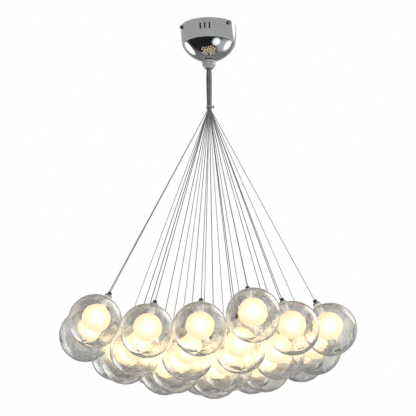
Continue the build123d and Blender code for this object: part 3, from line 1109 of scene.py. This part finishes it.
def addStrand(spot):
    size = bundle
    mouthZ, tieZ = gland["mouthZ"], nest["tieZ"]
    plan = unitPlan[spot] * nest["strandPitch"]
    wide = plan * size["bulgePitchShare"]
    footRadius = fanRadius - size["splitGap"]
    route = [
        (plan.x, plan.y, mouthZ + math.sqrt(size["swingRadius"] ** 2 - plan.length_squared)),
        (wide.x, wide.y, mouthZ - size["bulgeShare"] * size["length"]),
        (plan.x, plan.y, tieZ + size["aboveTie"]),
        (plan.x, plan.y, tieZ - math.sqrt(footRadius ** 2 - plan.length_squared)),
    ]
    piece = cordPiece("strand_" + labels[spot], route, size["pull"])
    finishPiece(piece, "cord_stem", "cord_bundle")


for spot in spots:
    addStrand(spot)

zipTie = {
    "innerR": 5.27 * mm,
    "thick": 1.2 * mm,
    "width": 2.6 * mm,
    "edge": 0.3 * mm,
    # the strap's teeth show as fine ridges on its outside
    "teeth": 72,
    "toothDepth": 0.2 * mm,
    # the head, its ratchet's window and the strap's cut end: middle from the strap's inside on
    # +X, size, rounding
    "head": (
        ((2.7 * mm, 0, 0), (3.8 * mm, 5 * mm, 4.4 * mm), 0.5 * mm),
        ((2.76 * mm, 0.6 * mm, 1.848 * mm), (1.932 * mm, 2.5 * mm, 0.704 * mm), 0.15 * mm),
        ((3.818 * mm, -1.5 * mm, 0), (1.564 * mm, 1.2 * mm, 2.6 * mm), 0.2 * mm),
    ),
}


def addZipTie():
    size = zipTie
    z, half, outerR = nest["tieZ"], size["width"] / 2, size["innerR"] + size["thick"]

    def toothed(radius, height, turn):
        if radius >= outerR:
            radius -= size["toothDepth"] / 2 * (1 + math.cos(size["teeth"] * turn))
        return radius, height

    edge = (size["edge"], size["edge"])
    band = ringPoints(size["innerR"], outerR, z - half, z + half, edge)
    mesh = turned("tieBand", band, 432, closed=True, shape=toothed, sharpAngle=30)
    addPiece("tieBand", mesh, "cord_stem", "tie", "zip_tie")
    bm = bmesh.new()
    for middle, block, rounding in size["head"]:
        roundedBlock(bm, Vector(middle) + Vector((size["innerR"], 0, z)), block, rounding)
    mesh = meshFrom(bm, "tieHead")
    addPiece("tieHead", mesh, "cord_stem", "tie", "zip_tie")


addZipTie()
print("gland, gathered cords and tie made")


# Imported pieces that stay: those behind the cup; pressed and moulded ones get broken edges

keptNodes = {
    "base_plate": ("zinc", 0.3 * mm),
    "led_driver": ("driver", 0.8 * mm),
    "mains_terminal": ("terminal", 0.5 * mm),
    "plate_screws": ("nickel", 0.15 * mm),
    "splice_sleeve": ("splice", 0.5 * mm),
    "cord_tails": ("cord", 0),
}
for name, (finish, edge) in keptNodes.items():
    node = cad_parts[name]
    for slot in node.material_slots:
        slot.material = finishes[finish]
    if edge:
        bevel = node.modifiers.new("brokenEdge", "BEVEL")
        bevel.width = edge
        bevel.segments = 2
        bevel.limit_method = "ANGLE"
        bevel.angle_limit = math.radians(40)
print("kept pieces finished:", len(keptNodes))


# Studio: plain white for the camera; glass and chrome see grey walls, a floor that is dark on the
# viewer's side, and soft boxes

studio = {
    "white": "#ffffff",
    # grey of the walls by height, from -1 straight down to 1 straight up, and of the floor by
    # depth, from -1 at the viewer's side to 1 at the far side
    "walls": (
        (-1.0, "#c2c2c3"), (0.0, "#b6b7b8"), (0.35, "#b3b3b3"), (0.62, "#8c8c8c"), (1.0, "#666666"),
    ),
    "floor": ((-1.0, "#222223"), (0.12, "#29292a"), (0.4, "#7f7f81"), (1.0, "#838385")),
    "horizon": {"From Min": -0.09, "From Max": -0.05},
    # upright streaks, as of curtains and stands round the set: how many, how strong, and how much
    # of them chrome and glass see
    "streaks": (15, 15, 6),
    "streakContrast": {"From Min": 0.32, "From Max": 0.68, "To Min": 0.35, "To Max": 2.0},
    "unevenness": {"To Min": 0.05, "To Max": 0.9},
    # direction, half angles of the bright middle and of the faded edge, brightness
    "softBoxes": (
        ((0.48, -0.48, -0.73), 2, 20, 1.35),
        ((0.83, 0.36, -0.42), 2, 22, 1.25),
        ((0.72, 0.0, -0.66), 3, 30, 0.55),
        ((-0.71, 0.60, -0.38), 14, 18, 2.2),
        ((0.62, 0.55, 0.56), 8, 24, 2.8),
    ),
    # how much of the soft boxes chrome and glass see
    "boxesThroughGlass": {"To Min": 1.0, "To Max": 0.6},
    # what lights the matt pieces
    "diffuseLevel": "#c0c2c3",
    "floorPaint": "#d9d9d8",
    "floorZ": -2.4,
    "floorRadius": 2.4,
    # place, width, height and power of the soft lamps, which look at the nest
    "lamps": {
        "fillLeft": ((-1.7, -2.2, 0.1), 0.9, 1.3, 8),
        "keyRight": ((2.3, -1.1, -0.3), 0.8, 1.4, 30),
    },
    "lampTarget": (0, 0, -0.55),
    # light crosses many walls of glass on its way through the nest
    "glassBounces": 40,
    "chromeBounces": 12,
}


def buildWorld():
    world = bpy.data.worlds.new("studio")
    scene.world = world
    world.use_nodes = True
    tree = world.node_tree
    tree.nodes.clear()
    where = addNode(tree, "TexCoord").outputs["Generated"]
    path = addNode(tree, "LightPath")
    throughGlass = {"Value": path.outputs["Is Transmission Ray"]}
    parts = addNode(tree, "SeparateXYZ", links={"Vector": where})
    greys = {}
    for axis, stops in (("Z", studio["walls"]), ("Y", studio["floor"])):
        at = {"Value": parts.outputs[axis]}
        share = addNode(tree, "MapRange", {"From Min": -1.0}, at)
        ramp = addNode(tree, "ValToRGB", links={"Fac": share})
        fillRamp(ramp.color_ramp, [((height + 1) / 2, colour) for height, colour in stops])
        greys[axis] = ramp
    above = addNode(tree, "MapRange", studio["horizon"], {"Value": parts.outputs["Z"]})
    room = addNode(tree, "Mix", {"data_type": "RGBA"}, {0: above, 6: greys["Y"], 7: greys["Z"]})

    spread = addNode(tree, "Mapping", {"Scale": studio["streaks"]}, {"Vector": where})
    streaks = addNode(tree, "TexNoise", {"Scale": 1.0, "Detail": 2.0}, {"Vector": spread})
    amount = addNode(tree, "MapRange", studio["unevenness"], throughGlass)
    contrast = addNode(tree, "MapRange", studio["streakContrast"], {"Value": streaks})
    uneven = addNode(
        tree, "Mix",
        {"data_type": "RGBA", "blend_type": "MULTIPLY"},
        {0: amount, 6: room.outputs[2], 7: contrast},
    )

    seen = uneven.outputs[2]
    through = addNode(tree, "MapRange", studio["boxesThroughGlass"], throughGlass)
    for direction, inner, outer, brightness in studio["softBoxes"]:
        near = addNode(
            tree, "VectorMath",
            {"operation": "DOT_PRODUCT", 1: Vector(direction).normalized()}, {0: where},
        )
        edge, middle = (math.cos(math.radians(angle)) for angle in (outer, inner))
        fade = {"From Min": edge, "From Max": middle, "To Max": brightness}
        box = addNode(
            tree, "MapRange",
            {"interpolation_type": "SMOOTHSTEP", **fade}, {"Value": near.outputs["Value"]},
        )
        lit = addNode(
            tree, "Mix", {"data_type": "RGBA", "blend_type": "ADD"}, {0: through, 6: seen, 7: box}
        )
        seen = lit.outputs[2]

    # matt pieces see one plain grey, and the camera sees white
    for ray, colour in (("Is Diffuse Ray", "diffuseLevel"), ("Is Camera Ray", "white")):
        plain = addNode(
            tree, "Mix",
            {"data_type": "RGBA", 7: linear(studio[colour])}, {0: path.outputs[ray], 6: seen},
        )
        seen = plain.outputs[2]
    background = addNode(tree, "Background", {"Strength": 1.0}, {"Color": seen})
    addNode(tree, "OutputWorld", links={0: background})


# pale matt floor, a room's height below, white to the camera and clear from beneath
def addFloor():
    bm = bmesh.new()
    bmesh.ops.create_circle(bm, cap_ends=True, segments=96, radius=studio["floorRadius"])
    material, tree = newMaterial("paleMattFloor")
    path = addNode(tree, "LightPath")
    paint = addNode(tree, "BsdfDiffuse", {"Color": linear(studio["floorPaint"])})
    white = addNode(tree, "Emission", {"Color": linear(studio["white"]), "Strength": 1.0})
    mixed = addNode(tree, "MixShader", links={0: path.outputs["Is Camera Ray"], 1: paint, 2: white})
    side = addNode(tree, "NewGeometry")
    clear = addNode(tree, "BsdfTransparent")
    shown = addNode(tree, "MixShader", links={0: side.outputs["Backfacing"], 1: mixed, 2: clear})
    mesh = meshFrom(bm, "floor")
    mesh.materials.append(surfaced(material, shown))
    floor = newObject("floor", mesh)
    floor.location.z = studio["floorZ"]
    floor.visible_glossy = False
    floor.visible_transmission = False


# soft lamps for the matt pieces; glass and chrome see the world's soft boxes instead
def addSoftLamps():
    for name, (place, width, height, power) in studio["lamps"].items():
        data = bpy.data.lights.new(name, "AREA")
        data.shape = "RECTANGLE"
        data.size = width
        data.size_y = height
        data.energy = power
        softLamp = newObject(name, data)
        away = Vector(place) - Vector(studio["lampTarget"])
        softLamp.matrix_world = Matrix.Translation(place) @ laidAlong(away)
        softLamp.visible_glossy = False
        softLamp.visible_transmission = False


# pinhole camera matched to the photograph; focal length and frame are in its pixels
view = {
    "frame": 416,
    "focal": 1964,
    "sensor": 36,
    "pitch": 14.67,
    "roll": -0.5,
    "place": (-4.4 * mm, -3692.9 * mm, -1340.2 * mm),
    "farthest": 50,
}


def addCamera():
    data = bpy.data.cameras.new("camera")
    data.sensor_fit = "HORIZONTAL"
    data.sensor_width = view["sensor"]
    data.lens = view["focal"] / view["frame"] * view["sensor"]
    data.clip_end = view["farthest"]
    camera = newObject("camera", data)
    tilt = Matrix.Rotation(math.radians(90 + view["pitch"]), 4, "X")
    roll = Matrix.Rotation(math.radians(view["roll"]), 4, "Z")
    camera.matrix_world = Matrix.Translation(view["place"]) @ tilt @ roll
    scene.camera = camera


buildWorld()
addFloor()
addCamera()
addSoftLamps()
scene.view_settings.view_transform = "Standard"
scene.cycles.max_bounces = studio["glassBounces"]
scene.cycles.transmission_bounces = studio["glassBounces"]
scene.cycles.glossy_bounces = studio["chromeBounces"]
print("studio built")
